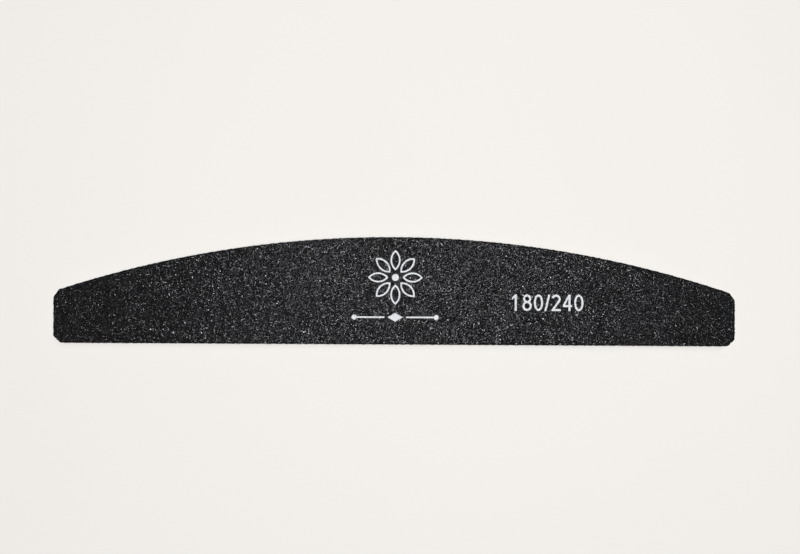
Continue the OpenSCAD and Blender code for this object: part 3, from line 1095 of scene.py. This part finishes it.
class EMERY_OT_print(Operator):
    """White print laid over the grit: the numbers, the rosette and the divider"""

    bl_idname = "emery.print"
    bl_label = "White print"

    def execute(self, context):
        grit = context.scene.emery_grit
        ink = ink_material(context.scene.emery_colours.ink)
        ground = self.ground()
        pulls = [("X", pattern("ink pulled along", "CLOUDS", 0.2 * MM, noise_depth=1)),
                 ("Y", pattern("ink pulled across", "CLOUDS", 0.27 * MM, noise_depth=1))]
        for node in ("printed_numbers", "printed_rosette", "printed_divider"):
            piece = self.lay(node, ground, grit.ink_shrinks)
            for way, pull in pulls:
                displace(piece, pull, grit.ink_ragged, direction=way)
            apply_all(piece)
            finish_piece(piece, ink, "white_ink", node)
        bpy.data.objects.remove(ground)
        return {"FINISHED"}

    @staticmethod
    def ground():
        """A copy of the upper coat and its grains as one mesh, for the ink to settle on."""
        start_fresh()
        for piece in bpy.context.scene.objects:
            if piece.name == "size_coat_180" or piece.name.startswith("grains_180"):
                piece.select_set(True)
        bpy.context.view_layer.objects.active = bpy.data.objects["size_coat_180"]
        bpy.ops.object.duplicate()
        bpy.ops.object.join()
        ground = named("print_ground")
        ground.parent = None
        return ground

    @staticmethod
    def lay(node, ground, shrinks):
        """One printed piece: a fine sheet that settles on the grit, cut just inside the print's outline."""
        low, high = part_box(node)
        middle = (low + high) / 2
        wide = high.x - low.x + 2 * INK_MARGIN
        deep = high.y - low.y + 2 * INK_MARGIN
        start_fresh()
        bpy.ops.mesh.primitive_grid_add(
            x_subdivisions=int(wide / INK_DIVISION), y_subdivisions=int(deep / INK_DIVISION), size=1)
        sheet = named(node + "_ink")
        points = places(sheet)
        put(sheet, np.column_stack([
            middle.x + points[:, 0] * wide, middle.y + points[:, 1] * deep,
            np.full(len(points), high.z + CLEAR_OF_PRINT)]))
        settle = sheet.modifiers.new("Settle", "SHRINKWRAP")
        settle.target = ground
        settle.wrap_method = "PROJECT"
        settle.use_project_z = True
        settle.use_negative_direction = True
        settle.use_positive_direction = False
        settle.offset = INK_LIFT
        body = sheet.modifiers.new("Body", "SOLIDIFY")
        body.thickness = INK_BODY
        body.offset = -1
        apply_all(sheet)
        choose(frame["nodes"][node])
        bpy.ops.object.duplicate()
        cutter = named(node + "_cutter")
        cutter.parent = None
        points = places(cutter)
        top, foot = high.z + CLEAR_OF_PRINT, low.z - CLEAR_OF_PRINT
        points[:, 2] = np.where(points[:, 2] > (low.z + high.z) / 2, top, foot)
        put(cutter, points)
        bpy.ops.object.mode_set(mode="EDIT")
        bpy.ops.mesh.select_all(action="SELECT")
        bpy.ops.mesh.remove_doubles(threshold=WELD)
        bpy.ops.mesh.dissolve_limited(angle_limit=NEARLY_FLAT)
        bpy.ops.mesh.select_all(action="SELECT")
        bpy.ops.transform.shrink_fatten(value=-shrinks, use_even_offset=True)
        bpy.ops.object.mode_set(mode="OBJECT")
        cut = sheet.modifiers.new("Cut", "BOOLEAN")
        cut.operation = "INTERSECT"
        cut.solver = "EXACT"
        cut.object = cutter
        apply_all(sheet)
        bpy.data.objects.remove(cutter)
        return sheet


class EMERY_OT_foam(Operator):
    """The two foam pads, with open cells in their cut edge"""

    bl_idname = "emery.foam"
    bl_label = "Foam pads"

    def execute(self, context):
        material = foam_material(context.scene.emery_colours.foam)
        cells = pattern("foam cells", "VORONOI", 0.3 * MM, distance_metric="DISTANCE", noise_intensity=1.2)
        for node in ("foam_pad_upper", "foam_pad_lower"):
            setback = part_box("backing_paper_upper")[1].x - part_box(node)[1].x
            piece = model_slab(
                node, spacing=0.15 * MM, levels=7,
                depth_at=lambda share: setback - 0.02 * MM + 0.12 * MM * np.sin(np.pi * share),
                wave=0.06 * MM, relief=cells, height=0.09 * MM, level=0.6)
            finish_piece(piece, material, "foam", node)
        return {"FINISHED"}


class EMERY_OT_papers(Operator):
    """The two backing papers, with fibrous die-cut edges"""

    bl_idname = "emery.papers"
    bl_label = "Backing papers"

    def execute(self, context):
        material = paper_material(context.scene.emery_colours.paper)
        wave = context.scene.emery_grit.edge_wave
        fibres = pattern("paper fibres", "CLOUDS", 0.25 * MM, noise_depth=2)
        for node in ("backing_paper_upper", "backing_paper_lower"):
            piece = model_slab(
                node, spacing=0.25 * MM, levels=3, depth_at=np.zeros_like, wave=wave, relief=fibres,
                height=0.04 * MM, level=0.75)
            finish_piece(piece, material, "backing_paper", node)
        return {"FINISHED"}


class EMERY_OT_core(Operator):
    """The plastic core, with the sheared edge of a die-cut sheet"""

    bl_idname = "emery.core"
    bl_label = "Core board"

    def execute(self, context):
        shear = pattern("core shear", "CLOUDS", 0.4 * MM, noise_depth=1)
        piece = model_slab(
            "core_board", spacing=0.2 * MM, levels=6, depth_at=self.rounded, wave=0.03 * MM, relief=shear,
            height=0.03 * MM, level=0.8)
        finish_piece(piece, core_material(context.scene.emery_colours.core), "core_plastic", "core_board")
        return {"FINISHED"}

    @staticmethod
    def rounded(share):
        """How far the sheared edge is drawn in, by height: rolled over on top, and tapered to the foot."""
        rolled = 0.05 * MM * np.clip(4 * share - 3, 0, 1) ** 2
        return rolled + 0.02 * MM * (1 - share)


class EMERY_OT_films(Operator):
    """Materials of the layers whose frame solids stay: the glue films and the make coats"""

    bl_idname = "emery.films"
    bl_label = "Glue films and make coats"

    def execute(self, context):
        colours = context.scene.emery_colours
        glue = glue_material(colours.glue)
        coat = resin_material("Make coat", colours.resin, 5200.0)
        for name, node in frame["nodes"].items():
            if "glue" in name or "make_coat" in name:
                node.data.materials.clear()
                node.data.materials.append(glue if "glue" in name else coat)
        return {"FINISHED"}


class EMERY_PT_board(Panel):
    """Lists the steps and their settings"""

    bl_label = "Emery board"
    bl_idname = "EMERY_PT_board"
    bl_space_type = "VIEW_3D"
    bl_region_type = "UI"
    bl_category = "Emery board"

    def draw(self, context):
        for operator in OPERATORS:
            self.layout.operator(operator.bl_idname)
        for group in (context.scene.emery_grit, context.scene.emery_colours, context.scene.emery_stage):
            box = self.layout.box()
            for key in group.__annotations__:
                box.prop(group, key)


SETTINGS = {"emery_grit": EmeryGrit, "emery_colours": EmeryColours, "emery_stage": EmeryStage}
OPERATORS = (
    EMERY_OT_stage, EMERY_OT_faces, EMERY_OT_print, EMERY_OT_foam, EMERY_OT_papers, EMERY_OT_core,
    EMERY_OT_films,
)


def register():
    for kind in (*SETTINGS.values(), *OPERATORS, EMERY_PT_board):
        bpy.utils.register_class(kind)
    for name, kind in SETTINGS.items():
        setattr(bpy.types.Scene, name, PointerProperty(type=kind))


def unregister():
    for name in SETTINGS:
        delattr(bpy.types.Scene, name)
    for kind in (EMERY_PT_board, *reversed(OPERATORS), *SETTINGS.values()):
        bpy.utils.unregister_class(kind)


def main():
    register()
    bpy.ops.emery.stage()
    bpy.ops.emery.faces()
    bpy.ops.emery.print()
    bpy.ops.emery.foam()
    bpy.ops.emery.papers()
    bpy.ops.emery.core()
    bpy.ops.emery.films()


if __name__ == "__main__":
    main()
